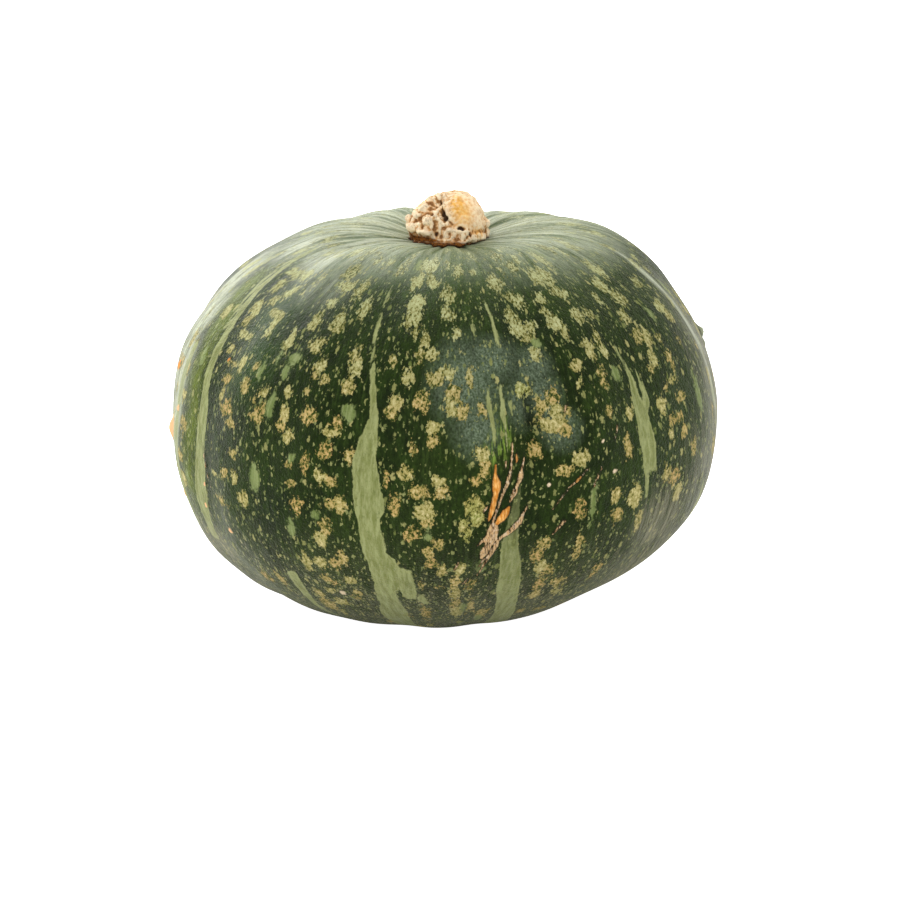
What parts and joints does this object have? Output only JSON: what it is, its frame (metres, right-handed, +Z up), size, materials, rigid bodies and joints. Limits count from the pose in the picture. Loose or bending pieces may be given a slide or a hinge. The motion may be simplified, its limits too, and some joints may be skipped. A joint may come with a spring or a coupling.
{
  "type": "kabocha squash",
  "caption": "Whole kabocha squash: a squat, softly ribbed dark-green fruit with pale flecks and stripes, a cut corky stem stub in its crown, and a flat underside to rest on.",
  "frame": {"origin": "middle of the bounding box's underside, on the surface that the squash rests on", "axes": "+Z up through the stem, -Y the scarred front, +X to the right seen from the front"},
  "size_m": [0.1798, 0.1786, 0.1398],
  "materials": {
    "rind": "waxy green rind, satin, with pale tan flecks and sage stripes",
    "cork": "dry matt cork, knobbly"
  },
  "bodies": {
    "root": {"fruit": "rind", "stem": "cork"}
  },
  "joints": []
}
